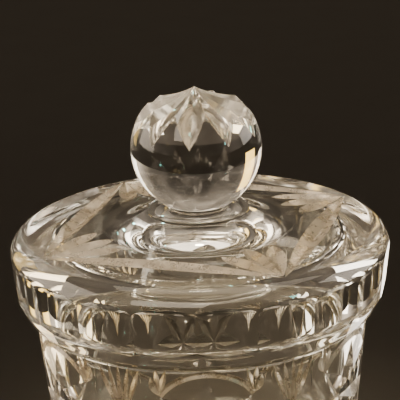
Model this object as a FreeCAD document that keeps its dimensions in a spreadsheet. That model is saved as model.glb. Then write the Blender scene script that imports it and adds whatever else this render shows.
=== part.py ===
import FreeCAD, Part
import math
import os
import Sketcher

# Covered powder jar in heavy cut crystal: a tapered jar, a thick domed lid with a
# locating ring, and a ball knob.  Millimetres, +Z up, origin at the centre of the base.
# The front of the jar faces -Y.

V = FreeCAD.Vector

DIMENSIONS = (
    # jar
    ("jar_height", 64.0, "base to the ground mouth"),
    ("jar_mouth_outer", 49.6, "outer radius at the mouth"),
    ("jar_base_outer", 43.2, "outer radius at the base"),
    ("jar_base_bevel", 1.2, "bevel round the base"),
    ("mouth_radius", 44.7, "inner radius at the mouth"),
    ("mouth_land", 5.0, "depth of the straight land that the lid's ring fits"),
    ("well_radius", 39.0, "inner radius where the wall turns into the floor"),
    ("well_corner", 9.0, "radius of the turn from wall to floor"),
    ("well_floor", 8.5, "height of the inside floor"),
    ("foot_inner", 33.0, "inner radius of the ground foot ring"),
    ("foot_recess", 1.2, "how far the middle of the base is hollowed"),
    # lid
    ("seat_outer", 51.8, "outer radius of the ground seat of the lid"),
    ("rim_low_radius", 55.0, "radius at the foot of the rim panels"),
    ("rim_low_rise", 6.0, "height of the rim bevel under the panels"),
    ("rim_wide_radius", 56.2, "widest radius of the lid"),
    ("rim_wide_rise", 16.6, "height of the widest part over the seat"),
    ("shoulder_radius", 50.5, "radius where the dome turns into the shoulder"),
    ("shoulder_rise", 23.4, "height of that turn over the seat"),
    ("shoulder_curve", 6.6, "radius of the rounded shoulder"),
    ("dome_curve", 735.0, "radius of the domed top and of the hollow's crown"),
    ("brow_radius", 29.0, "radius where the dome starts to sweep up to the knob"),
    ("brow_rise", 24.6, "height of that start over the seat"),
    ("brow_curve", 29.0, "radius of the sweep up to the knob's pad"),
    ("pad_rise", 28.8, "height of the knob's pad over the seat"),
    ("ring_outer", 44.3, "outer radius of the locating ring"),
    ("ring_inner", 41.3, "inner radius of the locating ring"),
    ("ring_depth", 4.0, "how far the ring reaches into the jar"),
    ("hollow_radius", 43.0, "radius of the hollow under the lid"),
    ("hollow_rise", 14.1, "height of the hollow's side wall over the seat"),
    ("hollow_corner", 4.0, "radius of the hollow's upper corner"),
    ("crown_rise", 19.1, "height of the hollow's crown over the seat"),
    ("panel_count", 20.0, "flat panels round the rim"),
    ("panel_facing", 7.0, "bearing of one panel from the front, degrees"),
    ("lap_height", 36.0, "height of the block that is cut away to leave a panel"),
    ("lap_width", 30.0, "width of that block, over one panel's width"),
    ("lap_depth", 6.0, "depth of that block, outward from the panel"),
    # cuts in the top of the lid
    ("blade_count", 4.0, "long blade cuts that make a square"),
    ("blade_corner", 27.3, "bearing of one corner of the square, degrees"),
    ("blade_depth", 1.5, "depth of a blade cut at its middle"),
    ("blade_half_width", 3.2, "half the width of a blade cut at its middle"),
    ("leaf_length", 22.0, "length of a leaf cut"),
    ("leaf_depth", 1.25, "depth of a leaf cut"),
    ("leaf_half_width", 2.75, "half the width of a leaf cut"),
    ("leaf_inset", 0.8, "from the corner of the square in to the leaves' meeting"),
    ("leaf_spread", 22.5, "angle between neighbouring leaves, degrees"),
    # knob
    ("pad_radius", 15.0, "radius of the knob's foot"),
    ("neck_radius", 9.85, "radius of the knob's neck"),
    ("neck_rise", 2.2, "height of the narrowest part over the pad"),
    ("foot_edge", 0.5, "height of the foot's edge"),
    ("foot_sweep", 6.0, "radius of the sweep from the foot up to the neck"),
    ("ball_radius", 19.2, "radius of the ball"),
    ("ball_rise", 19.0, "height of the ball's centre over the pad"),
    ("petal_count", 10.0, "petal cuts round the top of the ball"),
    ("petal_facing", -6.0, "bearing of one petal from the front, degrees"),
    ("petal_slope", 36.4, "slope of a petal's chord from the level, degrees"),
    ("petal_chord", 23.2, "length of a petal from the point to its tip"),
    ("petal_sag", 1.5, "how far a petal's valley is hollowed under its chord"),
    ("petal_half_angle", 39.0, "half the angle between a petal's two faces, degrees"),
    ("petal_reach", 9.0, "height of the wheel's V edge that cuts a petal"),
    ("point_rise", 37.4, "height of the knob's point over the pad"),
    # star cuts round the jar
    ("star_count", 6.0, "stars round the jar"),
    ("star_facing", 0.8, "bearing of one star from the front, degrees"),
    ("star_drop", 23.0, "height from the mouth down to a star's centre"),
    ("star_reach", 18.6, "length of a ray from the star's centre"),
    ("star_depth", 2.4, "depth of a star cut at its centre"),
    ("star_half_width", 3.5, "half the width of a star cut at its centre"),
)

doc = FreeCAD.newDocument("powder_jar")
sheet = doc.addObject("Spreadsheet::Sheet", "Sizes")
for row, (alias, number, meaning) in enumerate(DIMENSIONS, start=1):
    sheet.set("A%d" % row, alias)
    sheet.set("B%d" % row, str(number))
    sheet.set("C%d" % row, meaning)
    sheet.setAlias("B%d" % row, alias)
doc.recompute()


def size(alias):
    """A driving dimension's number."""
    return float(sheet.get(alias))


def formula(text):
    """The expression that binds to the sheet: each word in it is an alias."""
    words = text.replace("(", "( ").replace(")", " )").split()
    known = {alias for alias, number, meaning in DIMENSIONS}
    return " ".join("Sizes." + word if word in known else word for word in words)


def value(text):
    """What a formula comes to, for the first placing of a sketch's geometry."""
    return float(sheet.evalExpression(formula(text)))


def origin_feature(body, role):
    """The body's own origin plane or axis with that role."""
    return [item for item in body.Origin.OriginFeatures if item.Role == role][0]


def new_body(name):
    body = doc.addObject("PartDesign::Body", name)
    body.Label = name
    return body


def arc_between(first, second, radius, side):
    """The shorter arc from first to second, with its centre on one side of the chord."""
    chord = second - first
    middle = (first + second) * 0.5
    across = V(-chord.y, chord.x, 0).normalize() * side
    reach = math.sqrt(radius ** 2 - (chord.Length / 2) ** 2)
    centre = middle + across * reach
    crown = centre - across * radius
    return Part.Arc(first, crown, second)


def outline(body, name, role, corners, arcs):
    """A closed sketch.  corners are pairs of formulas; arcs maps a corner's number to the
    radius formula and the side (+1 left, -1 right) of the arc that leaves it."""
    sketch = body.newObject("Sketcher::SketchObject", name)
    sketch.AttachmentSupport = [(origin_feature(body, role), "")]
    sketch.MapMode = "FlatFace"
    points = [V(value(across), value(up), 0) for across, up in corners]
    count = len(points)
    ends = []
    for index, point in enumerate(points):
        following = points[(index + 1) % count]
        if index in arcs:
            radius, side = arcs[index]
            curve = arc_between(point, following, value(radius), side)
        else:
            curve = Part.LineSegment(point, following)
        sketch.addGeometry(curve, False)
        forward = (sketch.getPoint(index, 1) - point).Length < 1e-6
        ends.append((1, 2) if forward else (2, 1))
    for index in range(count):
        after = (index + 1) % count
        sketch.addConstraint(Sketcher.Constraint(
            "Coincident", index, ends[index][1], after, ends[after][0]))
    for index, (across, up) in enumerate(corners):
        for kind, text, axis in (("DistanceX", across, -2), ("DistanceY", up, -1)):
            if value(text) == 0.0:
                sketch.addConstraint(Sketcher.Constraint(
                    "PointOnObject", index, ends[index][0], axis))
                continue
            number = sketch.addConstraint(Sketcher.Constraint(
                kind, -1, 1, index, ends[index][0], value(text)))
            sketch.setExpression("Constraints[%d]" % number, formula(text))
    for index, (radius, side) in arcs.items():
        number = sketch.addConstraint(Sketcher.Constraint("Radius", index, value(radius)))
        sketch.setExpression("Constraints[%d]" % number, formula(radius))
    return sketch


def revolve(body, name, corners, arcs):
    """The blank turned round the body's own Z axis."""
    sketch = outline(body, name + "_profile", "XZ_Plane", corners, arcs)
    turned = body.newObject("PartDesign::Revolution", name)
    turned.Profile = sketch
    turned.ReferenceAxis = (sketch, ["V_Axis"])
    turned.Angle = 360.0
    doc.recompute()
    return turned


def repeat_round(body, feature, count_alias):
    """The feature repeated round the body's Z axis."""
    before = body.Shape.Volume
    pattern = body.newObject("PartDesign::PolarPattern", feature.Name + "_round")
    pattern.Originals = [feature]
    pattern.Axis = (origin_feature(body, "Z_Axis"), [""])
    pattern.Angle = 360.0
    pattern.setExpression("Occurrences", "Sizes." + count_alias)
    body.Tip = pattern
    doc.recompute()
    if not body.Shape.Volume < before - 1e-3:
        raise RuntimeError(feature.Name + " is not repeated round the body")
    return pattern


def bearing(degrees):
    """The level direction at a bearing from the front, positive towards +X."""
    angle = math.radians(degrees)
    return V(math.sin(angle), -math.cos(angle), 0)


def mitre_sketch(body, name, place, along, outward, corners):
    """A closed sketch across a cut: its plane stands square to the cut's run."""
    sketch = body.newObject("Sketcher::SketchObject", name)
    sketch.AttachmentSupport = [(origin_feature(body, "XY_Plane"), "")]
    sketch.MapMode = "FlatFace"
    turn = FreeCAD.Rotation(outward.cross(along), outward, along, "ZXY")
    sketch.AttachmentOffset = FreeCAD.Placement(place, turn)
    count = len(corners)
    for index, (across, up) in enumerate(corners):
        following = corners[(index + 1) % count]
        sketch.addGeometry(Part.LineSegment(V(across, up, 0), V(*following, 0)), False)
    for index in range(count):
        sketch.addConstraint(Sketcher.Constraint(
            "Coincident", index, 2, (index + 1) % count, 1))
    return sketch


def check_cut(body, feature, before):
    doc.recompute()
    if not body.Shape.Volume < before - 1e-3:
        raise RuntimeError(feature.Name + " takes nothing off the body")


def wheel_cut(body, name, place, along, outward, wheel, depth, half_slope, reach,
              count_alias):
    """A V cut made by the edge of a cutting wheel, repeated round the body.  The wheel
    goes depth under place; reach is the height of its V edge."""
    before = body.Shape.Volume
    half = reach * math.tan(math.radians(half_slope))
    corners = [(0, -depth), (half, reach - depth), (-half, reach - depth)]
    sketch = mitre_sketch(body, name + "_section", place, along, outward, corners)
    spindle = wheel - depth
    sketch.addGeometry(Part.LineSegment(V(-half, spindle, 0), V(half, spindle, 0)), True)
    groove = body.newObject("PartDesign::Groove", name)
    groove.Profile = sketch
    groove.ReferenceAxis = (sketch, ["Axis0"])
    groove.Angle = 360.0
    check_cut(body, groove, before)
    return repeat_round(body, groove, count_alias)


def lens_cut(body, name, place, along, outward, length, prefix, bulge, count_alias):
    """A wheel cut that runs out to a point at both ends.  place is on the surface, which
    bends away from the cut by the curvature bulge; prefix names the cut's dimensions.
    The wheel's V edge is twice as high as the cut is deep."""
    depth = size(prefix + "_depth")
    wheel = 1 / (8 * depth / length ** 2 - bulge)
    half_slope = math.degrees(math.atan2(size(prefix + "_half_width"), depth))
    wheel_cut(body, name, place, along, outward, wheel, depth, half_slope, 2 * depth,
              count_alias)


def build_jar():
    """The jar: a thick tapered wall, a rounded well, a ground foot ring and mouth."""
    body = new_body("jar")
    corners = [
        ("0", "foot_recess"),
        ("foot_inner - foot_recess", "foot_recess"),
        ("foot_inner", "0"),
        ("jar_base_outer - jar_base_bevel", "0"),
        ("jar_base_outer", "jar_base_bevel"),
        ("jar_mouth_outer", "jar_height"),
        ("mouth_radius", "jar_height"),
        ("mouth_radius", "jar_height - mouth_land"),
        ("well_radius", "well_floor + well_corner"),
        ("well_radius - well_corner", "well_floor"),
        ("0", "well_floor"),
    ]
    revolve(body, "jar_blank", corners, {8: ("well_corner", -1)})
    taper = math.atan2(size("jar_mouth_outer") - size("jar_base_outer"),
                       size("jar_height") - size("jar_base_bevel"))
    rise = size("jar_height") - size("star_drop")
    radius = size("jar_mouth_outer") - size("star_drop") * math.tan(taper)
    facing = bearing(size("star_facing"))
    place = facing * radius + V(0, 0, rise)
    outward = facing * math.cos(taper) - V(0, 0, math.sin(taper))
    upward = facing * math.sin(taper) + V(0, 0, math.cos(taper))
    sideways = outward.cross(upward)
    for name, lean in (("upright", 0), ("level", 90), ("rising", 45), ("falling", -45)):
        angle = math.radians(lean)
        along = upward * math.cos(angle) + sideways * math.sin(angle)
        lens_cut(body, "star_" + name, place, along, outward, 2 * size("star_reach"),
                 "star", 0, "star_count")
    return body


def dome_height(radius):
    """Height of the lid's domed top, outside the brow, at a radius from the axis."""
    curve = size("dome_curve")
    drop = math.sqrt(curve ** 2 - size("brow_radius") ** 2) - math.sqrt(curve ** 2 - radius ** 2)
    return size("jar_height") + size("brow_rise") - drop


def build_lid():
    """The lid: a domed top, a panelled rim, a ground seat and a ring that fits the mouth."""
    body = new_body("lid")
    corners = [
        ("0", "jar_height + crown_rise"),
        ("hollow_radius - hollow_corner", "jar_height + hollow_rise + hollow_corner"),
        ("hollow_radius", "jar_height + hollow_rise"),
        ("hollow_radius", "jar_height + ring_depth"),
        ("ring_inner", "jar_height"),
        ("ring_inner", "jar_height - ring_depth"),
        ("ring_outer", "jar_height - ring_depth"),
        ("ring_outer", "jar_height"),
        ("seat_outer", "jar_height"),
        ("rim_low_radius", "jar_height + rim_low_rise"),
        ("rim_wide_radius", "jar_height + rim_wide_rise"),
        ("shoulder_radius", "jar_height + shoulder_rise"),
        ("brow_radius", "jar_height + brow_rise"),
        ("pad_radius", "jar_height + pad_rise"),
        ("0", "jar_height + pad_rise"),
    ]
    arcs = {
        0: ("dome_curve", -1),
        1: ("hollow_corner", -1),
        10: ("shoulder_curve", 1),
        11: ("dome_curve", 1),
        12: ("brow_curve", -1),
    }
    revolve(body, "lid_blank", corners, arcs)
    # rim panels: each is a flat that leaves the widest radius only at its two edges
    half_step = math.pi / size("panel_count")
    high = size("rim_wide_radius") * math.cos(half_step)
    low = size("rim_low_radius") * math.cos(half_step)
    run = size("rim_wide_rise") - size("rim_low_rise")
    lean = math.atan2(high - low, run)
    facing = bearing(size("panel_facing"))
    outward = facing * math.cos(lean) - V(0, 0, math.sin(lean))
    upward = facing * math.sin(lean) + V(0, 0, math.cos(lean))
    sideways = outward.cross(upward)
    place = facing * high + V(0, 0, size("jar_height") + size("rim_wide_rise"))
    half = size("lap_height") / 2
    depth = size("lap_depth")
    corners = [(-half, 0), (half, 0), (half, depth), (-half, depth)]
    before = body.Shape.Volume
    sketch = mitre_sketch(body, "panel_section", place, sideways, outward, corners)
    panel = body.newObject("PartDesign::Pocket", "panel")
    panel.Profile = sketch
    panel.Midplane = True
    panel.setExpression("Length", "Sizes.lap_width")
    check_cut(body, panel, before)
    repeat_round(body, panel, "panel_count")
    # blades: four long cuts on the sides of a square, pointed at its corners
    corner = size("shoulder_radius")
    middle = corner * math.cos(math.radians(45))
    bulge = 1 / size("dome_curve")
    towards = bearing(size("blade_corner") - 45)
    along = bearing(size("blade_corner") + 45)
    place = towards * middle + V(0, 0, dome_height(middle))
    tilt = math.asin(middle * bulge)
    outward = towards * math.sin(tilt) + V(0, 0, math.cos(tilt))
    lens_cut(body, "blade", place, along, outward, 2 * middle, "blade", bulge, "blade_count")
    # leaves: three at each corner of the square, fanned inside it
    length = size("leaf_length")
    tip = bearing(size("blade_corner"))
    beside = bearing(size("blade_corner") + 90)
    for index in (-1, 0, 1):
        fan = math.radians(index * size("leaf_spread"))
        run = tip * -math.cos(fan) + beside * math.sin(fan)
        level = tip * (corner - size("leaf_inset")) + run * (length / 2)
        radius = level.Length
        tilt = math.asin(radius * bulge)
        outward = level.normalize() * math.sin(tilt) + V(0, 0, math.cos(tilt))
        along = (run - outward * run.dot(outward)).normalize()
        place = level * radius + V(0, 0, dome_height(radius))
        lens_cut(body, "leaf_%d" % (index + 2), place, along, outward, length, "leaf", bulge,
                 "blade_count")
    return body


def build_knob():
    """The knob: a ball on a short waisted neck, with petal cuts that meet in a point."""
    body = new_body("knob")
    pad = "jar_height + pad_rise"
    corners = [
        ("0", pad),
        ("pad_radius", pad),
        ("pad_radius", pad + " + foot_edge"),
        ("neck_radius", pad + " + neck_rise"),
        ("neck_radius", pad + " + ball_rise - sqrt(ball_radius ^ 2 - neck_radius ^ 2)"),
        ("0", pad + " + ball_rise + ball_radius"),
    ]
    revolve(body, "knob_blank", corners, {2: ("foot_sweep", -1), 4: ("ball_radius", 1)})
    # petals: each is hollowed a little by the curve of the wheel
    slope = math.radians(size("petal_slope"))
    chord = size("petal_chord")
    sag = size("petal_sag")
    facing = bearing(size("petal_facing"))
    along = facing * math.cos(slope) - V(0, 0, math.sin(slope))
    outward = facing * math.sin(slope) + V(0, 0, math.cos(slope))
    point = V(0, 0, size("jar_height") + size("pad_rise") + size("point_rise"))
    wheel_cut(body, "petal", point + along * (chord / 2), along, outward,
              chord ** 2 / (8 * sag) + sag / 2, sag, size("petal_half_angle"),
              size("petal_reach"), "petal_count")
    return body


def check_document():
    """Every object has recomputed without an error."""
    doc.recompute()
    for item in doc.Objects:
        if "Invalid" in item.State or "Error" in item.State:
            raise RuntimeError(item.Name + " has not recomputed: " + str(item.State))


def write_pieces(bodies):
    """One STEP file for each piece, named for its label."""
    for body in bodies:
        shape = body.Shape
        if shape.isNull() or not shape.isValid() or len(shape.Solids) != 1:
            raise RuntimeError(body.Label + " is not one valid solid")
    os.makedirs("parts", exist_ok=True)
    for body in bodies:
        body.Shape.exportStep("parts/" + body.Label + ".step")
        print("%s %.0f mm3" % (body.Label, body.Shape.Volume), body.Shape.BoundBox)


pieces = [build_jar(), build_lid(), build_knob()]
check_document()
write_pieces(pieces)
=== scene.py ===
import math

import bmesh
import bpy
from bpy.props import FloatProperty, FloatVectorProperty, IntProperty, PointerProperty
from mathutils import Matrix, Vector


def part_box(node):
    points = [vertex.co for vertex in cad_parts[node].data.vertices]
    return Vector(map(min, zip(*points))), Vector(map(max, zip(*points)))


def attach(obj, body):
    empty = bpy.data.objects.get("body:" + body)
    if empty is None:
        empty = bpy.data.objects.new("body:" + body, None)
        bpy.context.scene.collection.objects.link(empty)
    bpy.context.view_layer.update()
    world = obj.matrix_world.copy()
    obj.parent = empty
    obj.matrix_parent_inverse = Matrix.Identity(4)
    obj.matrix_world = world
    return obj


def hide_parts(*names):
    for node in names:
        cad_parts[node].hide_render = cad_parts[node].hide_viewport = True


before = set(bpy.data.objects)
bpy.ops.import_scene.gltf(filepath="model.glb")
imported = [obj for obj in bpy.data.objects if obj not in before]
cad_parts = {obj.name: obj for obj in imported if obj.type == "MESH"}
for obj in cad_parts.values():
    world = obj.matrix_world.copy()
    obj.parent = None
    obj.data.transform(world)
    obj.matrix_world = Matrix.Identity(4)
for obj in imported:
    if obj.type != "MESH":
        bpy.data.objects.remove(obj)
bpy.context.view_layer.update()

bl_info = {
    "name": "Cut Crystal Powder Jar",
    "version": (1, 0, 0),
    "blender": (4, 5, 0),
    "location": "3D View > Sidebar > Powder Jar",
    "description": "Builds a covered powder jar in wheel-cut lead crystal",
    "category": "Object",
}

MM = 0.001
# levels of the frame that the pieces are drawn from
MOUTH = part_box("jar")[1].z
RING_FOOT, PAD = (corner.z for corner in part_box("lid"))
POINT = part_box("knob")[1].z

# how finely a blank is turned: steps round it and the longest edge along its outline
TURN_STEPS = 360
TURN_LONGEST = 2.2 * MM
BALL_TURN_STEPS = 300
BALL_TURN_LONGEST = 1.5 * MM
# vertices nearer than this are one, in a finished piece and in a blank
WELD = 1e-6
BLANK_WELD = 1e-7
# small radii that ease the corners of the outlines
MOUTH_EASED = 0.5 * MM
LAND_EASED = 12 * MM
RIM_EASED = 0.8 * MM
RING_EASED = 0.7 * MM
HOLLOW_EASED = 3 * MM
# height over the mouth of the corner where the lid's hollow starts to go straight up
HOLLOW_FOOT = 4 * MM
# the lid's seat is drawn this far over the mouth, so that the two don't share a plane
SEAT_GAP = 0.05 * MM

# lean in degrees and length in millimetres of the lines in a long fan
LONG_FAN = ((-20, 13), (-10, 17), (0, 18), (10, 17), (20, 13))
LONG_FAN_REACH = 18.5 * MM
LONG_FAN_DROP = 19.5 * MM
LONG_FAN_APART = 7 * MM
# lean, length and how much wider than a fine line, for the lines in a short fan
SHORT_FAN = ((-21, 6, 1.8), (-4, 8.6, 1.0), (15, 8.6, 1.0))
ARCH_RISE = 6.9 * MM
ARCH_DEPTH = 0.6 * MM
ARCH_WIDTH = 1.9 * MM
# height of the V edge that cuts a petal, and how far round the wheel it is drawn
PETAL_EDGE = 9 * MM
PETAL_SWEEP = math.radians(34)
# how far the wheels' edges are drawn past the surface that they cut
EDGE_OVER = 1.5 * MM
EDGE_RUN_OVER = 0.8 * MM
ARCH_OVER = 1.2 * MM

CRYSTAL_INDEX = 1.545
# surfaces that a ray can pass before it is stopped; a cut wall has many
CRYSTAL_BOUNCES = 32
MIRROR_BOUNCES = 12

FLOOR_HALF = 20.0
FLOOR_DROP = 0.2 * MM
LAMP_TARGET = Vector((0, 0, 0.09))
CAMERA_TARGET = Vector((0.62 * MM, 0, 95.5 * MM))
# name, place, width, height, radiance and colour of each soft panel, in metres
PANELS = (
    ("overhead", (0.1, 0.25, 0.95), 0.9, 0.5, 1.7, "#fff3e2"),
    ("left_panel", (-0.75, 0.1, 0.4), 0.6, 0.7, 3.6, "#fff0dc"),
    ("right_panel", (0.75, 0.2, 0.4), 0.5, 0.6, 3.6, "#fff6ea"),
    ("front_fill", (-0.3, -0.8, 0.8), 0.8, 0.5, 5.0, "#fff0dc"),
    ("warm_kicker", (-0.5, 0.5, 0.2), 0.2, 0.5, 2.6, "#ffd77e"),
    ("cool_kicker", (0.5, -0.35, 0.3), 0.06, 0.1, 16.0, "#8fe6e0"),
)
# panels that lie at table height and face up: a dim disc and a strip at each side of it
TABLE_PANELS = (
    ("table_glow", (0, 0.12, -0.1 * MM), 0.44, 0.44, 0.055, "#f5dfc8"),
    ("table_left", (-0.11, 0.13, 0.001), 0.05, 0.2, 3.2, "#ffe9c4"),
    ("table_right", (0.11, 0.13, 0.001), 0.05, 0.2, 3.2, "#fff6ea"),
)


def millimetres(name, size, about):
    """A length that a user would change, given here in millimetres."""
    return FloatProperty(name=name, description=about, default=size * MM, unit="LENGTH",
                         subtype="DISTANCE", precision=5)


def degrees(name, angle, about):
    return FloatProperty(name=name, description=about, default=math.radians(angle),
                         subtype="ANGLE")


def linear(code):
    """An sRGB hex value as linear red, green, blue and full alpha."""
    parts = [int(code[at:at + 2], 16) / 255 for at in (1, 3, 5)]
    return tuple(p / 12.92 if p <= 0.04045 else ((p + 0.055) / 1.055) ** 2.4
                 for p in parts) + (1.0,)


def colour(name, code, about):
    return FloatVectorProperty(name=name, description=about, default=linear(code), size=4,
                               subtype="COLOR", min=0.0, max=1.0)


class JarSizes(bpy.types.PropertyGroup):
    mouth_outer: millimetres("Mouth outside", 49.6, "Outer radius at the mouth")
    base_outer: millimetres("Base outside", 43.2, "Outer radius at the base")
    base_bevel: millimetres("Base bevel", 1.2, "Bevel round the base")
    mouth_inner: millimetres("Mouth inside", 44.7, "Inner radius at the mouth")
    mouth_land: millimetres("Mouth land", 5.0, "Depth of the straight land for the ring")
    well_inner: millimetres("Well inside", 39.0, "Inner radius where the wall meets the floor")
    well_corner: millimetres("Well corner", 9.0, "Radius of the turn from wall to floor")
    well_floor: millimetres("Floor", 8.5, "Height of the inside floor")
    foot_inner: millimetres("Foot ring inside", 33.0, "Inner radius of the ground foot ring")
    foot_recess: millimetres("Foot recess", 1.2, "Hollow in the middle of the base")
    star_count: IntProperty(name="Stars", description="Stars round the jar", default=6)
    star_facing: degrees("Star bearing", 0.8, "Bearing of one star from the front")
    star_drop: millimetres("Star drop", 23.0, "From the mouth down to a star's centre")
    star_reach: millimetres("Star reach", 18.6, "Length of a ray from the star's centre")
    star_depth: millimetres("Star depth", 2.4, "Depth of a star cut at its centre")
    star_width: millimetres("Star width", 7.0, "Width of a star cut at its centre")
    line_width: millimetres("Line width", 1.5, "Width of the fine line cuts")
    line_depth: millimetres("Line depth", 0.65, "Depth of the fine line cuts")


class LidSizes(bpy.types.PropertyGroup):
    seat_outer: millimetres("Seat outside", 51.8, "Outer radius of the ground seat")
    rim_low: millimetres("Rim foot", 55.0, "Radius at the foot of the rim panels")
    rim_low_rise: millimetres("Rim foot rise", 6.0, "Height of the bevel under the panels")
    rim_wide: millimetres("Rim widest", 56.2, "Widest radius of the rim")
    rim_wide_rise: millimetres("Rim widest rise", 16.6, "Height of the widest part")
    shoulder: millimetres("Shoulder", 50.5, "Radius where the dome meets the shoulder")
    shoulder_rise: millimetres("Shoulder rise", 23.4, "Height of that meeting line")
    shoulder_curve: millimetres("Shoulder curve", 6.6, "Radius of the rounded shoulder")
    dome_curve: millimetres("Dome curve", 735.0, "Radius of the domed top")
    brow: millimetres("Brow", 29.0, "Radius where the dome starts to sweep up to the knob")
    brow_rise: millimetres("Brow rise", 24.6, "Height of that start")
    brow_curve: millimetres("Brow curve", 29.0, "Radius of the sweep up to the knob")
    ring_outer: millimetres("Ring outside", 44.3, "Outer radius of the locating ring")
    ring_inner: millimetres("Ring inside", 41.3, "Inner radius of the locating ring")
    hollow: millimetres("Hollow", 43.0, "Radius of the hollow under the lid")
    hollow_rise: millimetres("Hollow rise", 14.1, "Height of the hollow's side wall")
    hollow_corner: millimetres("Hollow corner", 4.0, "Radius of the hollow's upper corner")
    crown_rise: millimetres("Crown rise", 19.1, "Height of the hollow's crown")
    panel_count: IntProperty(name="Panels", description="Flat panels round the rim",
                             default=20)
    panel_facing: degrees("Panel bearing", 7.0, "Bearing of one panel from the front")
    blade_corner: degrees("Square bearing", 27.3, "Bearing of a corner of the blade square")
    blade_depth: millimetres("Blade depth", 1.5, "Depth of a blade cut at its middle")
    blade_width: millimetres("Blade width", 6.4, "Width of a blade cut at its middle")
    leaf_length: millimetres("Leaf length", 22.0, "Length of a leaf cut")
    leaf_depth: millimetres("Leaf depth", 1.25, "Depth of a leaf cut")
    leaf_width: millimetres("Leaf width", 5.5, "Width of a leaf cut")
    leaf_inset: millimetres("Leaf inset", 0.8, "From the square's corner to the leaves' root")
    leaf_belly: millimetres("Leaf belly", 3.0, "How far a leaf's widest part lies outward")
    leaf_spread: degrees("Leaf spread", 22.5, "Angle between neighbouring leaves")


class KnobSizes(bpy.types.PropertyGroup):
    foot: millimetres("Foot", 15.0, "Radius of the knob's foot")
    foot_edge: millimetres("Foot edge", 0.5, "Height of the foot's edge")
    foot_sweep: millimetres("Foot sweep", 6.0, "Radius of the sweep up to the neck")
    neck: millimetres("Neck", 9.85, "Radius of the neck")
    neck_rise: millimetres("Neck rise", 2.2, "Height of the narrowest part")
    ball: millimetres("Ball", 19.2, "Radius of the ball")
    ball_rise: millimetres("Ball rise", 19.0, "Height of the ball's centre over the pad")
    petal_count: IntProperty(name="Petals", description="Petal cuts round the top",
                             default=10)
    petal_facing: degrees("Petal bearing", -6.0, "Bearing of one petal from the front")
    petal_slope: degrees("Petal slope", 36.4, "Slope of a petal's chord")
    petal_chord: millimetres("Petal chord", 23.2, "Length of a petal from point to tip")
    petal_sag: millimetres("Petal sag", 1.5, "How far a petal is hollowed under its chord")
    petal_angle: degrees("Petal half angle", 39.0, "Half the angle between a petal's faces")


class CrystalLook(bpy.types.PropertyGroup):
    clear: colour("Clear", "#fbfbf8", "Polished crystal")
    clear_warm: colour("Clear, warm", "#f6f4ec", "Faint warm cords in the melt")
    matte: colour("Matte cut", "#e8dac4", "Wheel-cut surface left unpolished")
    matte_dark: colour("Matte cut, deep", "#b8a78d", "Grit lines in a wheel-cut surface")
    satin: colour("Satin cut", "#f8f3ea", "Cut surface brought back to a satin polish")


class StageLook(bpy.types.PropertyGroup):
    floor: colour("Floor", "#cfc8bd", "Plain pale floor")
    surround: colour("Surround", "#f3e2cf", "Cloth of the tent round the crystal")
    distance: millimetres("Camera distance", 600.0, "From the camera to its target")
    elevation: degrees("Camera elevation", 18.76, "How far the camera looks down")
    roll: degrees("Camera roll", 1.98, "How far the camera leans")


# the finished pieces, which the soft panels light
PIECES = []


# ---------------------------------------------------------------- outlines and meshes

def bearing(angle):
    """The level direction at a bearing from the front, positive towards +X."""
    return Vector((math.sin(angle), -math.cos(angle), 0.0))


def curve_between(first, last, radius, side, steps):
    """Points on the shorter arc from first up to last, centre left (+1) or right (-1)."""
    chord = last - first
    across = Vector((-chord.y, chord.x)).normalized() * side
    centre = (first + last) / 2 + across * math.sqrt(radius ** 2 - chord.length ** 2 / 4)
    start = first - centre
    turn = start.angle_signed(last - centre)
    made = []
    for step in range(1, steps + 1):
        spoke = start.copy()
        spoke.rotate(Matrix.Rotation(-turn * step / steps, 2))
        made.append(centre + spoke)
    return made


def rounded(before, corner, after, radius, steps=4):
    """A corner of an outline eased to a small radius."""
    back = (before - corner).normalized()
    on = (after - corner).normalized()
    half = back.angle(on) / 2
    cut = radius / math.tan(half)
    first, last = corner + back * cut, corner + on * cut
    side = 1 if (corner - before).cross(after - corner) > 0 else -1
    return [first] + curve_between(first, last, radius, side, steps)


def turned_blank(outline, segments, longest):
    """A closed bmesh turned from an outline that starts and ends on the Z axis."""
    bm = bmesh.new()
    chain = [bm.verts.new((point.x, 0.0, point.y)) for point in outline]
    runs = [bm.edges.new(ends) for ends in zip(chain, chain[1:])]
    for cuts in {int(run.calc_length() / longest) for run in runs} - {0}:
        long_runs = [run for run in bm.edges if int(run.calc_length() / longest) == cuts]
        bmesh.ops.subdivide_edges(bm, edges=long_runs, cuts=cuts)
    bmesh.ops.spin(bm, geom=bm.verts[:] + bm.edges[:], cent=(0, 0, 0), axis=(0, 0, 1),
                   angle=math.tau, steps=segments, use_merge=True)
    bmesh.ops.remove_doubles(bm, verts=bm.verts, dist=BLANK_WELD)
    bmesh.ops.recalc_face_normals(bm, faces=bm.faces)
    return bm


def new_object(name, bm, materials):
    mesh = bpy.data.meshes.new(name)
    bm.to_mesh(mesh)
    bm.free()
    for material in materials:
        mesh.materials.append(material)
    made = bpy.data.objects.new(name, mesh)
    bpy.context.scene.collection.objects.link(made)
    return made


def grinding_edge(wheel, depth, half, reach, sweep, steps):
    """The part of a cutting wheel's V edge that does the cutting, as a closed bmesh: the
    cut runs along +Y, outward is +Z, and the wheel goes depth under the origin."""
    bm = bmesh.new()
    corners = [bm.verts.new(at) for at in ((0, 0, -depth), (half, 0, reach - depth),
                                           (-half, 0, reach - depth))]
    section = bm.faces.new(corners)
    spindle = (0, 0, wheel - depth)
    bmesh.ops.rotate(bm, verts=corners, cent=spindle, matrix=Matrix.Rotation(sweep, 3, "X"))
    bmesh.ops.spin(bm, geom=[section] + section.edges[:] + corners, cent=spindle,
                   axis=(1, 0, 0), angle=-2 * sweep, steps=steps)
    bmesh.ops.recalc_face_normals(bm, faces=bm.faces)
    return bm


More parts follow.
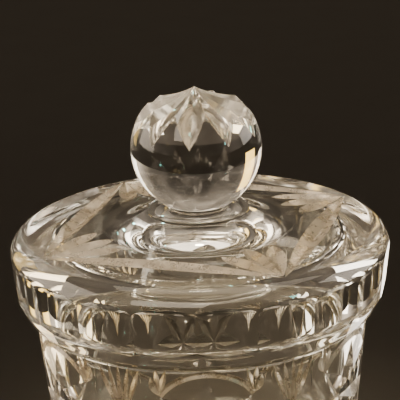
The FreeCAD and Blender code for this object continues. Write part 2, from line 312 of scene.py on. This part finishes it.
def wheel_edge(length, depth, width, steps=24):
    """A wheel's edge for a cut that runs out to a point at both ends."""
    wheel = length ** 2 / (8 * depth)
    reach = 2 * depth + EDGE_OVER
    sweep = math.acos(1 - (depth + EDGE_RUN_OVER) / wheel)
    return grinding_edge(wheel, depth, width / 2 * reach / depth, reach, sweep, steps)


def ring_edge(radius, depth, width, start, turn, steps=32):
    """A V edge bent round an arc in the X-Z plane of a flat wall: outward is -Y."""
    half = width / 2 * (depth + ARCH_OVER) / depth
    bm = bmesh.new()
    corners = [bm.verts.new((radius + across, -up, 0))
               for across, up in ((0, -depth), (half, ARCH_OVER), (-half, ARCH_OVER))]
    section = bm.faces.new(corners)
    bmesh.ops.rotate(bm, verts=corners, cent=(0, 0, 0), matrix=Matrix.Rotation(-start, 3, "Y"))
    bmesh.ops.spin(bm, geom=[section] + section.edges[:] + corners, cent=(0, 0, 0),
                   axis=(0, -1, 0), angle=turn, steps=steps)
    bmesh.ops.recalc_face_normals(bm, faces=bm.faces)
    return bm


def gather(shapes):
    """Several closed bmeshes, which don't touch each other, as one."""
    together = bmesh.new()
    for shape in shapes:
        mesh = bpy.data.meshes.new("cutter")
        shape.to_mesh(mesh)
        shape.free()
        together.from_mesh(mesh)
        bpy.data.meshes.remove(mesh)
    return together


def mark_flat(bm, level, inner, outer, slot):
    """Gives one material slot to a level ring of faces at a height, or to a whole disc."""
    for face in bm.faces:
        middle = face.calc_center_median()
        at_level = abs(middle.z - level) < 0.02 * MM and abs(face.normal.z) > 0.99
        if at_level and inner <= middle.to_2d().length <= outer:
            face.material_index = slot


def take_away(piece, shapes, material):
    """Cuts the shapes out of a piece; the cut faces get the material."""
    cutter = new_object("cutter", gather(shapes), [material])
    cut = piece.modifiers.new("cut", "BOOLEAN")
    cut.operation = "DIFFERENCE"
    cut.solver = "MANIFOLD"
    cut.material_mode = "TRANSFER"
    cut.object = cutter
    bpy.context.view_layer.update()
    shaped = piece.evaluated_get(bpy.context.evaluated_depsgraph_get())
    mesh = bpy.data.meshes.new_from_object(shaped, preserve_all_data_layers=True,
                                           depsgraph=bpy.context.evaluated_depsgraph_get())
    piece.modifiers.clear()
    blank = piece.data
    piece.data = mesh
    mesh.name = piece.name
    bpy.data.meshes.remove(blank)
    waste = cutter.data
    bpy.data.objects.remove(cutter)
    bpy.data.meshes.remove(waste)


def finish_piece(piece, body, nodes, crease=7.0):
    """Polished faces are shaded smooth and every cut edge is kept crisp."""
    mesh = piece.data
    bm = bmesh.new()
    bm.from_mesh(mesh)
    bmesh.ops.remove_doubles(bm, verts=bm.verts, dist=WELD)
    bmesh.ops.dissolve_degenerate(bm, dist=WELD, edges=bm.edges)
    bm.to_mesh(mesh)
    bm.free()
    mesh.shade_smooth()
    mesh.set_sharp_from_angle(angle=math.radians(crease))
    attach(piece, body)
    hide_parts(*nodes)
    PIECES.append(piece)


# ---------------------------------------------------------------- materials

def add_node(tree, kind, settings=(), sockets=(), links=()):
    """A node with its settings, fixed socket values and incoming links."""
    made = tree.nodes.new(kind)
    for name, setting in settings:
        setattr(made, name, setting)
    for name, number in sockets:
        made.inputs[name].default_value = number
    for name, source in links:
        tree.links.new(source, made.inputs[name])
    return made


def new_material(name):
    """A material and its empty node tree, or no tree where it is made already."""
    material = bpy.data.materials.get(name)
    if material:
        return material, None
    material = bpy.data.materials.new(name)
    material.use_nodes = True
    material.node_tree.nodes.clear()
    return material, material.node_tree


def polished_crystal():
    """Lead crystal, acid-polished after cutting: clear, heavy refraction, a water-like skin."""
    material, tree = new_material("polished_lead_crystal")
    if tree is None:
        return material
    look = bpy.context.scene.crystal_look
    place = add_node(tree, "ShaderNodeTexCoord").outputs["Object"]
    # cords: slow streaks left in the melt, about 30 mm apart
    cords = add_node(tree, "ShaderNodeTexNoise", sockets=(("Scale", 33.0), ("Detail", 2.0)),
                     links=(("Vector", place),))
    tint = add_node(tree, "ShaderNodeMix", settings=(("data_type", "RGBA"),),
                    sockets=(("A", look.clear), ("B", look.clear_warm)),
                    links=(("Factor", cords.outputs["Fac"]),))
    # the hand-held polish leaves a ripple about 9 mm long and a few microns high
    ripple = add_node(tree, "ShaderNodeTexNoise", sockets=(("Scale", 110.0), ("Detail", 1.0)),
                      links=(("Vector", place),))
    skin = add_node(tree, "ShaderNodeBump", sockets=(("Strength", 0.25), ("Distance", 0.00006)),
                    links=(("Height", ripple.outputs["Fac"]),))
    glass = add_node(tree, "ShaderNodeBsdfPrincipled",
                     sockets=(("Transmission Weight", 1.0), ("IOR", CRYSTAL_INDEX),
                              ("Roughness", 0.0)),
                     links=(("Base Color", tint.outputs["Result"]),
                            ("Normal", skin.outputs["Normal"])))
    add_node(tree, "ShaderNodeOutputMaterial", links=(("Surface", glass.outputs["BSDF"]),))
    return material


def ground_skin(tree, place, grit_size, depth):
    """A ground face: the mix of its grit lines with patches about 4 mm across, from 0 to
    1, and the bump that the lines make."""
    grit = add_node(tree, "ShaderNodeTexNoise", sockets=(("Scale", grit_size), ("Detail", 2.0)),
                    links=(("Vector", place),))
    patch = add_node(tree, "ShaderNodeTexNoise", sockets=(("Scale", 260.0), ("Detail", 3.0)),
                     links=(("Vector", place),))
    both = add_node(tree, "ShaderNodeMath", settings=(("operation", "MULTIPLY_ADD"),),
                    sockets=((1, 0.5),), links=((0, grit.outputs["Fac"]),
                                                (2, patch.outputs["Fac"])))
    skin = add_node(tree, "ShaderNodeBump", sockets=(("Strength", 0.5), ("Distance", depth)),
                    links=(("Height", grit.outputs["Fac"]),))
    even = add_node(tree, "ShaderNodeMapRange", sockets=(("From Min", 0.5), ("From Max", 1.0)),
                    links=(("Value", both.outputs[0]),))
    return even.outputs["Result"], skin.outputs["Normal"]


def wheel_cut_crystal():
    """Lead crystal as the stone wheel leaves it: matt, scattering, with fine grit lines."""
    material, tree = new_material("wheel_cut_crystal")
    if tree is None:
        return material
    look = bpy.context.scene.crystal_look
    place = add_node(tree, "ShaderNodeTexCoord").outputs["Object"]
    # grit lines of about 0.3 mm, drawn coarser than the real 0.05 mm so that they show
    grit, skin = ground_skin(tree, place, 3300.0, 0.00002)
    tint = add_node(tree, "ShaderNodeMix", settings=(("data_type", "RGBA"),),
                    sockets=(("A", look.matte_dark), ("B", look.matte)),
                    links=(("Factor", grit),))
    rough = add_node(tree, "ShaderNodeMapRange",
                     sockets=(("To Min", 0.22), ("To Max", 0.36)),
                     links=(("Value", grit),))
    glass = add_node(tree, "ShaderNodeBsdfPrincipled",
                     sockets=(("Transmission Weight", 0.6), ("IOR", CRYSTAL_INDEX)),
                     links=(("Base Color", tint.outputs["Result"]),
                            ("Roughness", rough.outputs["Result"]),
                            ("Normal", skin)))
    add_node(tree, "ShaderNodeOutputMaterial", links=(("Surface", glass.outputs["BSDF"]),))
    return material


def satin_cut_crystal():
    """Cut crystal dipped back to a satin polish: it glows at the edges and blurs what is
    behind it, but still shows it."""
    material, tree = new_material("satin_cut_crystal")
    if tree is None:
        return material
    look = bpy.context.scene.crystal_look
    place = add_node(tree, "ShaderNodeTexCoord").outputs["Object"]
    # the dip leaves only a soft waviness of about 0.7 mm where the grit lines were
    grit, skin = ground_skin(tree, place, 1400.0, 0.00003)
    rough = add_node(tree, "ShaderNodeMapRange",
                     sockets=(("To Min", 0.03), ("To Max", 0.13)),
                     links=(("Value", grit),))
    glass = add_node(tree, "ShaderNodeBsdfPrincipled",
                     sockets=(("Transmission Weight", 0.9), ("IOR", CRYSTAL_INDEX),
                              ("Base Color", look.satin)),
                     links=(("Roughness", rough.outputs["Result"]), ("Normal", skin)))
    add_node(tree, "ShaderNodeOutputMaterial", links=(("Surface", glass.outputs["BSDF"]),))
    return material


def fused_joint():
    """The inside of the weld between knob and lid, where the two glasses have run together:
    nothing is seen there."""
    material, tree = new_material("fused_glass_joint")
    if tree is None:
        return material
    clear = add_node(tree, "ShaderNodeBsdfTransparent")
    add_node(tree, "ShaderNodeOutputMaterial", links=(("Surface", clear.outputs["BSDF"]),))
    return material


def pale_floor():
    """A painted studio floor: matt, with a slight mottle from the roller."""
    material, tree = new_material("painted_floor")
    if tree is None:
        return material
    look = bpy.context.scene.stage_look
    place = add_node(tree, "ShaderNodeTexCoord").outputs["Object"]
    mottle = add_node(tree, "ShaderNodeTexNoise", sockets=(("Scale", 40.0), ("Detail", 4.0)),
                      links=(("Vector", place),))
    dim = tuple(channel * 0.93 for channel in look.floor[:3]) + (1.0,)
    tint = add_node(tree, "ShaderNodeMix", settings=(("data_type", "RGBA"),),
                    sockets=(("A", look.floor), ("B", dim)),
                    links=(("Factor", mottle.outputs["Fac"]),))
    paint = add_node(tree, "ShaderNodeBsdfPrincipled",
                     sockets=(("Roughness", 0.8), ("Specular IOR Level", 0.12)),
                     links=(("Base Color", tint.outputs["Result"]),))
    add_node(tree, "ShaderNodeOutputMaterial", links=(("Surface", paint.outputs["BSDF"]),))
    return material


def studio_tent():
    """The cloth tent round the crystal: dim near the table, brighter overhead and at both
    sides, a little uneven.  Only glass and gloss see it, so it leaves the floor alone."""
    world = bpy.data.worlds.new("studio")
    world.use_nodes = True
    world.cycles_visibility.diffuse = False
    world.cycles_visibility.camera = False
    tree = world.node_tree
    tree.nodes.clear()
    look = bpy.context.scene.stage_look
    way = add_node(tree, "ShaderNodeTexCoord").outputs["Generated"]
    axes = add_node(tree, "ShaderNodeSeparateXYZ", links=(("Vector", way),)).outputs

    def glow(source, low, high, least, most):
        """A smooth rise from least to most as the source goes from low to high."""
        return add_node(tree, "ShaderNodeMapRange",
                        settings=(("interpolation_type", "SMOOTHSTEP"),),
                        sockets=(("From Min", low), ("From Max", high), ("To Min", least),
                                 ("To Max", most)),
                        links=(("Value", source),)).outputs["Result"]

    def joined(kind, first, second):
        return add_node(tree, "ShaderNodeMath", settings=(("operation", kind),),
                        links=((0, first), (1, second))).outputs[0]

    side = add_node(tree, "ShaderNodeMath", settings=(("operation", "ABSOLUTE"),),
                    links=((0, axes["X"]),)).outputs[0]
    overhead = glow(axes["Z"], low=0.12, high=0.75, least=0.09, most=0.5)
    beside = glow(side, low=0.5, high=0.95, least=0.0, most=0.9)
    folds = add_node(tree, "ShaderNodeTexNoise", sockets=(("Scale", 2.6), ("Detail", 3.0)),
                     links=(("Vector", way),)).outputs["Fac"]
    uneven = glow(folds, low=0.35, high=0.65, least=0.55, most=1.35)
    strength = joined("MULTIPLY", joined("ADD", overhead, beside), uneven)
    cloth = add_node(tree, "ShaderNodeBackground", sockets=(("Color", look.surround),),
                     links=(("Strength", strength),))
    add_node(tree, "ShaderNodeOutputWorld", links=(("Surface", cloth.outputs[0]),))
    return world


# ---------------------------------------------------------------- the pieces

class CRYSTAL_OT_jar(bpy.types.Operator):
    """Turn the jar and cut its stars, arches and fans of lines"""
    bl_idname = "crystal.jar"
    bl_label = "Cut Jar"

    def execute(self, context):
        size = context.scene.jar_sizes
        floor = size.well_floor
        corner = size.well_corner
        wall_foot = Vector((size.well_inner, floor + corner))
        floor_edge = Vector((size.well_inner - corner, floor))
        base = Vector((size.base_outer, 0))
        mouth_out = Vector((size.mouth_outer, MOUTH))
        mouth_in = Vector((size.mouth_inner, MOUTH))
        land_foot = Vector((size.mouth_inner, MOUTH - size.mouth_land))
        outline = [Vector((0, size.foot_recess)),
                   Vector((size.foot_inner - size.foot_recess, size.foot_recess)),
                   Vector((size.foot_inner, 0))]
        outline += rounded(outline[-1], base, mouth_out, size.base_bevel)
        outline += rounded(base, mouth_out, mouth_in, MOUTH_EASED)
        outline += rounded(mouth_out, mouth_in, land_foot, MOUTH_EASED)
        outline += rounded(mouth_in, land_foot, wall_foot, LAND_EASED)
        outline += [wall_foot] + curve_between(wall_foot, floor_edge, corner, -1, 10)
        outline += [Vector((0, floor))]
        blank = turned_blank(outline, TURN_STEPS, TURN_LONGEST)
        clear, matte, satin = polished_crystal(), wheel_cut_crystal(), satin_cut_crystal()
        looks = [clear, matte, satin]
        mark_flat(blank, MOUTH, size.mouth_inner, size.mouth_outer, looks.index(satin))
        piece = new_object("jar_bowl", blank, looks)
        taper = (size.mouth_outer - size.base_outer) / MOUTH
        level = MOUTH - size.star_drop
        middle = size.mouth_outer - size.star_drop * taper

        def wrapped(shape, facing, across, drop, lean):
            """A cutter made for a flat wall, leaned, moved and then wrapped round the jar."""
            spin = Matrix.Rotation(lean, 4, "Y")
            shape.transform(Matrix.Translation((across, 0, MOUTH - drop)) @ spin)
            for vert in shape.verts:
                radius = size.mouth_outer - (MOUTH - vert.co.z) * taper - vert.co.y
                level_way = bearing(facing + vert.co.x / middle)
                vert.co = level_way * radius + Vector((0, 0, vert.co.z))
            return shape

        def upright(shape):
            """From the wheel's own setting to a wall: the cut runs along Z, outward is -Y."""
            shape.transform(Matrix.Rotation(math.radians(90), 4, "X"))
            return shape

        step = math.tau / size.star_count
        stars = [size.star_facing + step * index for index in range(size.star_count)]
        # four long cuts cross in each star
        for lean in (0, 90, 45, -45):
            take_away(piece, [
                wrapped(upright(wheel_edge(2 * size.star_reach, size.star_depth,
                                           size.star_width, steps=36)),
                        facing, 0, size.star_drop, math.radians(lean)) for facing in stars],
                satin)
        # a fan of five lines stands between two stars, and a second one is turned down
        for lean, length in LONG_FAN:
            tilt = math.radians(lean)
            run = length * MM
            for way, drop in ((1, LONG_FAN_DROP), (-1, LONG_FAN_DROP + LONG_FAN_APART)):
                up = (LONG_FAN_REACH - run / 2) * math.cos(tilt) * way
                side = (LONG_FAN_REACH - run / 2) * math.sin(tilt)
                take_away(piece, [
                    wrapped(upright(wheel_edge(run, size.line_depth, size.line_width)),
                            facing + step / 2, side, drop - up, tilt * way)
                    for facing in stars], matte)
        # short fans stand on the tips of each star's slanting rays
        tip = size.star_reach * math.sin(math.radians(45))
        for lean, length, stretch in SHORT_FAN:
            tilt = math.radians(lean)
            run = length * MM
            for hand in (1, -1):
                side = -hand * (tip - math.sin(tilt) * run / 2)
                drop = size.star_drop - tip - math.cos(tilt) * run / 2
                take_away(piece, [
                    wrapped(upright(wheel_edge(run, size.line_depth,
                                               size.line_width * stretch)),
                            facing, side, drop, tilt * hand) for facing in stars], matte)
        # an arch springs over each star from slanting tip to slanting tip
        arch = (tip ** 2 + ARCH_RISE ** 2) / (2 * ARCH_RISE)
        half = math.asin(tip / arch)
        shapes = []
        for facing in stars:
            shape = ring_edge(arch, ARCH_DEPTH, ARCH_WIDTH, math.radians(90) - half, 2 * half)
            shapes.append(wrapped(shape, facing, 0, size.star_drop - tip - ARCH_RISE + arch, 0))
        take_away(piece, shapes, matte)
        finish_piece(piece, "jar", ["jar"])
        return {"FINISHED"}


class CRYSTAL_OT_lid(bpy.types.Operator):
    """Turn the lid, flatten its rim panels and cut the square of blades with its leaves"""
    bl_idname = "crystal.lid"
    bl_label = "Cut Lid"

    def execute(self, context):
        size = context.scene.lid_sizes
        knob = context.scene.knob_sizes
        seat = MOUTH + SEAT_GAP
        pad_edge = Vector((knob.foot, PAD))
        brow = Vector((size.brow, MOUTH + size.brow_rise))
        shoulder = Vector((size.shoulder, MOUTH + size.shoulder_rise))
        widest = Vector((size.rim_wide, MOUTH + size.rim_wide_rise))
        rim_foot = Vector((size.rim_low, MOUTH + size.rim_low_rise))
        seat_edge = Vector((size.seat_outer, seat))
        ring_root = Vector((size.ring_outer, seat))
        ring_out = Vector((size.ring_outer, RING_FOOT))
        ring_in = Vector((size.ring_inner, RING_FOOT))
        ring_top = Vector((size.ring_inner, MOUTH))
        hollow_foot = Vector((size.hollow, MOUTH + HOLLOW_FOOT))
        hollow_top = Vector((size.hollow, MOUTH + size.hollow_rise))
        corner = size.hollow_corner
        ceiling = Vector((size.hollow - corner, MOUTH + size.hollow_rise + corner))
        crown = Vector((0, MOUTH + size.crown_rise))
        outline = [Vector((0, PAD)), pad_edge]
        outline += curve_between(pad_edge, brow, size.brow_curve, 1, 12)
        outline += curve_between(brow, shoulder, size.dome_curve, -1, 12)
        outline += curve_between(shoulder, widest, size.shoulder_curve, -1, 20)
        outline += rounded(widest, rim_foot, seat_edge, RIM_EASED)
        outline += rounded(rim_foot, seat_edge, ring_root, RIM_EASED)
        outline += [ring_root]
        outline += rounded(ring_root, ring_out, ring_in, RING_EASED)
        outline += rounded(ring_out, ring_in, ring_top, RING_EASED)
        outline += rounded(ring_in, ring_top, hollow_foot, HOLLOW_EASED)
        outline += rounded(ring_top, hollow_foot, hollow_top, HOLLOW_EASED)
        outline += [hollow_top]
        outline += curve_between(hollow_top, ceiling, corner, 1, 10)
        outline += curve_between(ceiling, crown, size.dome_curve, 1, 20)
        blank = turned_blank(outline, TURN_STEPS, TURN_LONGEST)
        # rim panels: each is a flat that leaves the widest radius only at its two edges
        half_step = math.pi / size.panel_count
        high = size.rim_wide * math.cos(half_step)
        low = size.rim_low * math.cos(half_step)
        lean = math.atan2(high - low, size.rim_wide_rise - size.rim_low_rise)
        for index in range(size.panel_count):
            facing = bearing(size.panel_facing + 2 * half_step * index)
            outward = facing * math.cos(lean) - Vector((0, 0, math.sin(lean)))
            place = facing * high + Vector((0, 0, widest.y))
            cut = bmesh.ops.bisect_plane(blank, geom=blank.verts[:] + blank.edges[:]
                                         + blank.faces[:], plane_co=place, plane_no=outward,
                                         clear_outer=True)
            rim = [e for e in cut["geom_cut"] if isinstance(e, bmesh.types.BMEdge)]
            bmesh.ops.edgenet_fill(blank, edges=rim)
        bmesh.ops.recalc_face_normals(blank, faces=blank.faces)
        clear, matte = polished_crystal(), wheel_cut_crystal()
        joint, satin = fused_joint(), satin_cut_crystal()
        looks = [clear, matte, joint, satin]
        mark_flat(blank, seat, size.ring_outer, size.seat_outer, looks.index(satin))
        mark_flat(blank, PAD, 0.0, knob.foot, looks.index(joint))
        piece = new_object("lid_cover", blank, looks)

        def dome(radius):
            """Height of the lid's top at a radius, outside the brow and inside it."""
            if radius >= size.brow:
                curve = size.dome_curve
                return brow.y - math.sqrt(curve ** 2 - brow.x ** 2) + math.sqrt(
                    curve ** 2 - radius ** 2)
            slope = brow.x / size.dome_curve
            return brow.y + (brow.x - radius) * slope + (brow.x - radius) ** 2 / (
                2 * size.brow_curve)

        def set_down(shape, place, run):
            """A cutter turned to its run and draped on the dome at its place."""
            turn = Vector((0, 1)).angle_signed(run.to_2d())
            shape.transform(Matrix.Translation(place) @ Matrix.Rotation(-turn, 4, "Z"))
            for vert in shape.verts:
                vert.co.z += dome(vert.co.to_2d().length)
            return shape

        # blades: four long cuts on the sides of a square, each pair of opposite sides at once
        middle = size.shoulder * math.cos(math.radians(45))
        for pair in (0, 90):
            shapes = []
            for facing in (size.blade_corner + math.radians(45 + pair + turn)
                           for turn in (0, 180)):
                shape = wheel_edge(2 * middle, size.blade_depth, size.blade_width,
                                   steps=64)
                shapes.append(set_down(shape, bearing(facing) * middle,
                                       bearing(facing + math.radians(90))))
            take_away(piece, shapes, matte)
        # leaves: three at each corner of the square, fanned inside it
        for index in (-1, 0, 1):
            shapes = []
            for quarter in range(4):
                corner_way = size.blade_corner + math.radians(90 * quarter)
                fan = index * size.leaf_spread
                run = (-bearing(corner_way) * math.cos(fan)
                       + bearing(corner_way + math.radians(90)) * math.sin(fan))
                place = (bearing(corner_way) * (size.shoulder - size.leaf_inset)
                         + run * size.leaf_length / 2)
                shape = wheel_edge(size.leaf_length, size.leaf_depth, size.leaf_width,
                                   steps=32)
                for vert in shape.verts:
                    along = min(1.0, abs(vert.co.y) * 2 / size.leaf_length)
                    vert.co.y += size.leaf_belly * (1 - along ** 2)
                shapes.append(set_down(shape, place, run))
            take_away(piece, shapes, matte)
        finish_piece(piece, "lid", ["lid"])
        return {"FINISHED"}


class CRYSTAL_OT_knob(bpy.types.Operator):
    """Turn the knob and cut the petals round its top"""
    bl_idname = "crystal.knob"
    bl_label = "Cut Knob"

    def execute(self, context):
        size = context.scene.knob_sizes
        foot = Vector((size.foot, PAD))
        foot_top = Vector((size.foot, PAD + size.foot_edge))
        neck = Vector((size.neck, PAD + size.neck_rise))
        centre = PAD + size.ball_rise
        meeting = Vector((size.neck, centre - math.sqrt(size.ball ** 2 - size.neck ** 2)))
        outline = [Vector((0, PAD)), foot, foot_top]
        outline += curve_between(foot_top, neck, size.foot_sweep, -1, 10)
        outline += [meeting]
        outline += curve_between(meeting, Vector((0, centre + size.ball)), size.ball, 1, 90)
        blank = turned_blank(outline, BALL_TURN_STEPS, BALL_TURN_LONGEST)
        clear, satin, joint = polished_crystal(), satin_cut_crystal(), fused_joint()
        looks = [clear, satin, joint]
        mark_flat(blank, PAD, 0.0, size.foot, looks.index(joint))
        piece = new_object("knob_ball", blank, looks)
        half = PETAL_EDGE * math.tan(size.petal_angle)
        wheel = size.petal_chord ** 2 / (8 * size.petal_sag) + size.petal_sag / 2
        for index in range(size.petal_count):
            facing = size.petal_facing + math.tau * index / size.petal_count
            shape = grinding_edge(wheel, size.petal_sag, half, PETAL_EDGE, PETAL_SWEEP,
                                  steps=48)
            shape.transform(Matrix.Translation((0, 0, POINT))
                            @ Matrix.Rotation(facing, 4, "Z")
                            @ Matrix.Rotation(size.petal_slope, 4, "X")
                            @ Matrix.Translation((0, -size.petal_chord / 2, 0)))
            take_away(piece, [shape], satin)
        finish_piece(piece, "lid", ["knob"])
        return {"FINISHED"}


class CRYSTAL_OT_stage(bpy.types.Operator):
    """Set the floor, the lights and the camera"""
    bl_idname = "crystal.stage"
    bl_label = "Set Stage"

    def execute(self, context):
        look = context.scene.stage_look
        bm = bmesh.new()
        bmesh.ops.create_grid(bm, x_segments=1, y_segments=1, size=FLOOR_HALF)
        bmesh.ops.translate(bm, verts=bm.verts, vec=(0, 0, -FLOOR_DROP))
        floor = new_object("studio_floor", bm, [pale_floor()])
        context.scene.world = studio_tent()
        crystal = bpy.data.collections.new("crystal_pieces")
        for piece in PIECES:
            crystal.objects.link(piece)

        def aimed(name, lamp, place, at):
            """A lamp at its place, aimed at a point and hidden from the camera."""
            made = bpy.data.objects.new(name, lamp)
            made.location = place
            made.rotation_euler = (Vector(at) - Vector(place)).to_track_quat("-Z", "Y").to_euler()
            made.visible_camera = False
            context.scene.collection.objects.link(made)
            return made

        def softbox(name, place, width, height, glow, code, at):
            """A soft panel that lights only the crystal; glow is its radiance, so its
            power follows from its area."""
            lamp = bpy.data.lights.new(name, "AREA")
            lamp.shape = "RECTANGLE"
            lamp.size, lamp.size_y = width, height
            lamp.energy = glow * math.pi * width * height
            lamp.color = linear(code)[:3]
            aimed(name, lamp, place, at).light_linking.receiver_collection = crystal
            return lamp

        lying = [softbox(*panel, at=(panel[1][0], panel[1][1], 1.0)) for panel in TABLE_PANELS]
        lying[0].shape = "DISK"
        for panel in PANELS:
            softbox(*panel, at=LAMP_TARGET)
        pool = bpy.data.lights.new("floor_pool", "SPOT")
        pool.energy = 2.0
        pool.spot_size = math.radians(90)
        pool.spot_blend = 1.0
        pool.shadow_soft_size = 0.05
        pool.color = linear("#fff0dc")[:3]
        aimed("floor_pool", pool, (0, 0.5, 1.2), (0, 0.5, 0))

        camera = bpy.data.cameras.new("camera")
        camera.lens = 183.7
        camera.sensor_width = 36.0
        camera.clip_start, camera.clip_end = 0.01, 20.0
        made = bpy.data.objects.new("camera", camera)
        away = Vector((0, -math.cos(look.elevation), math.sin(look.elevation)))
        made.location = CAMERA_TARGET + away * look.distance
        turn = (-away).to_track_quat("-Z", "Y").to_matrix() @ Matrix.Rotation(-look.roll, 3, "Z")
        made.rotation_euler = turn.to_euler()
        context.scene.collection.objects.link(made)
        context.scene.camera = made
        context.scene.view_settings.view_transform = "AgX"
        context.scene.view_settings.look = "AgX - Medium High Contrast"
        cycles = context.scene.cycles
        cycles.max_bounces = CRYSTAL_BOUNCES
        cycles.transmission_bounces = CRYSTAL_BOUNCES
        cycles.transparent_max_bounces = CRYSTAL_BOUNCES
        cycles.glossy_bounces = MIRROR_BOUNCES
        return {"FINISHED"}


class CRYSTAL_PT_panel(bpy.types.Panel):
    """The powder jar's pieces and stage"""
    bl_idname = "CRYSTAL_PT_panel"
    bl_label = "Powder Jar"
    bl_space_type = "VIEW_3D"
    bl_region_type = "UI"
    bl_category = "Powder Jar"

    def draw(self, context):
        scene = context.scene
        for group, operator in (("jar_sizes", "crystal.jar"), ("lid_sizes", "crystal.lid"),
                                ("knob_sizes", "crystal.knob"),
                                ("stage_look", "crystal.stage")):
            box = self.layout.box()
            for name in getattr(scene, group).__annotations__:
                box.prop(getattr(scene, group), name)
            box.operator(operator)
        for name in scene.crystal_look.__annotations__:
            self.layout.prop(scene.crystal_look, name)


GROUPS = (("jar_sizes", JarSizes), ("lid_sizes", LidSizes), ("knob_sizes", KnobSizes),
          ("crystal_look", CrystalLook), ("stage_look", StageLook))
CLASSES = (CRYSTAL_OT_jar, CRYSTAL_OT_lid, CRYSTAL_OT_knob, CRYSTAL_OT_stage,
           CRYSTAL_PT_panel)


def register():
    for name, group in GROUPS:
        bpy.utils.register_class(group)
        setattr(bpy.types.Scene, name, PointerProperty(type=group))
    for item in CLASSES:
        bpy.utils.register_class(item)


def unregister():
    for item in reversed(CLASSES):
        bpy.utils.unregister_class(item)
    for name, group in reversed(GROUPS):
        delattr(bpy.types.Scene, name)
        bpy.utils.unregister_class(group)


def main():
    register()
    bpy.ops.crystal.jar()
    bpy.ops.crystal.lid()
    bpy.ops.crystal.knob()
    bpy.ops.crystal.stage()


if __name__ == "__main__":
    main()
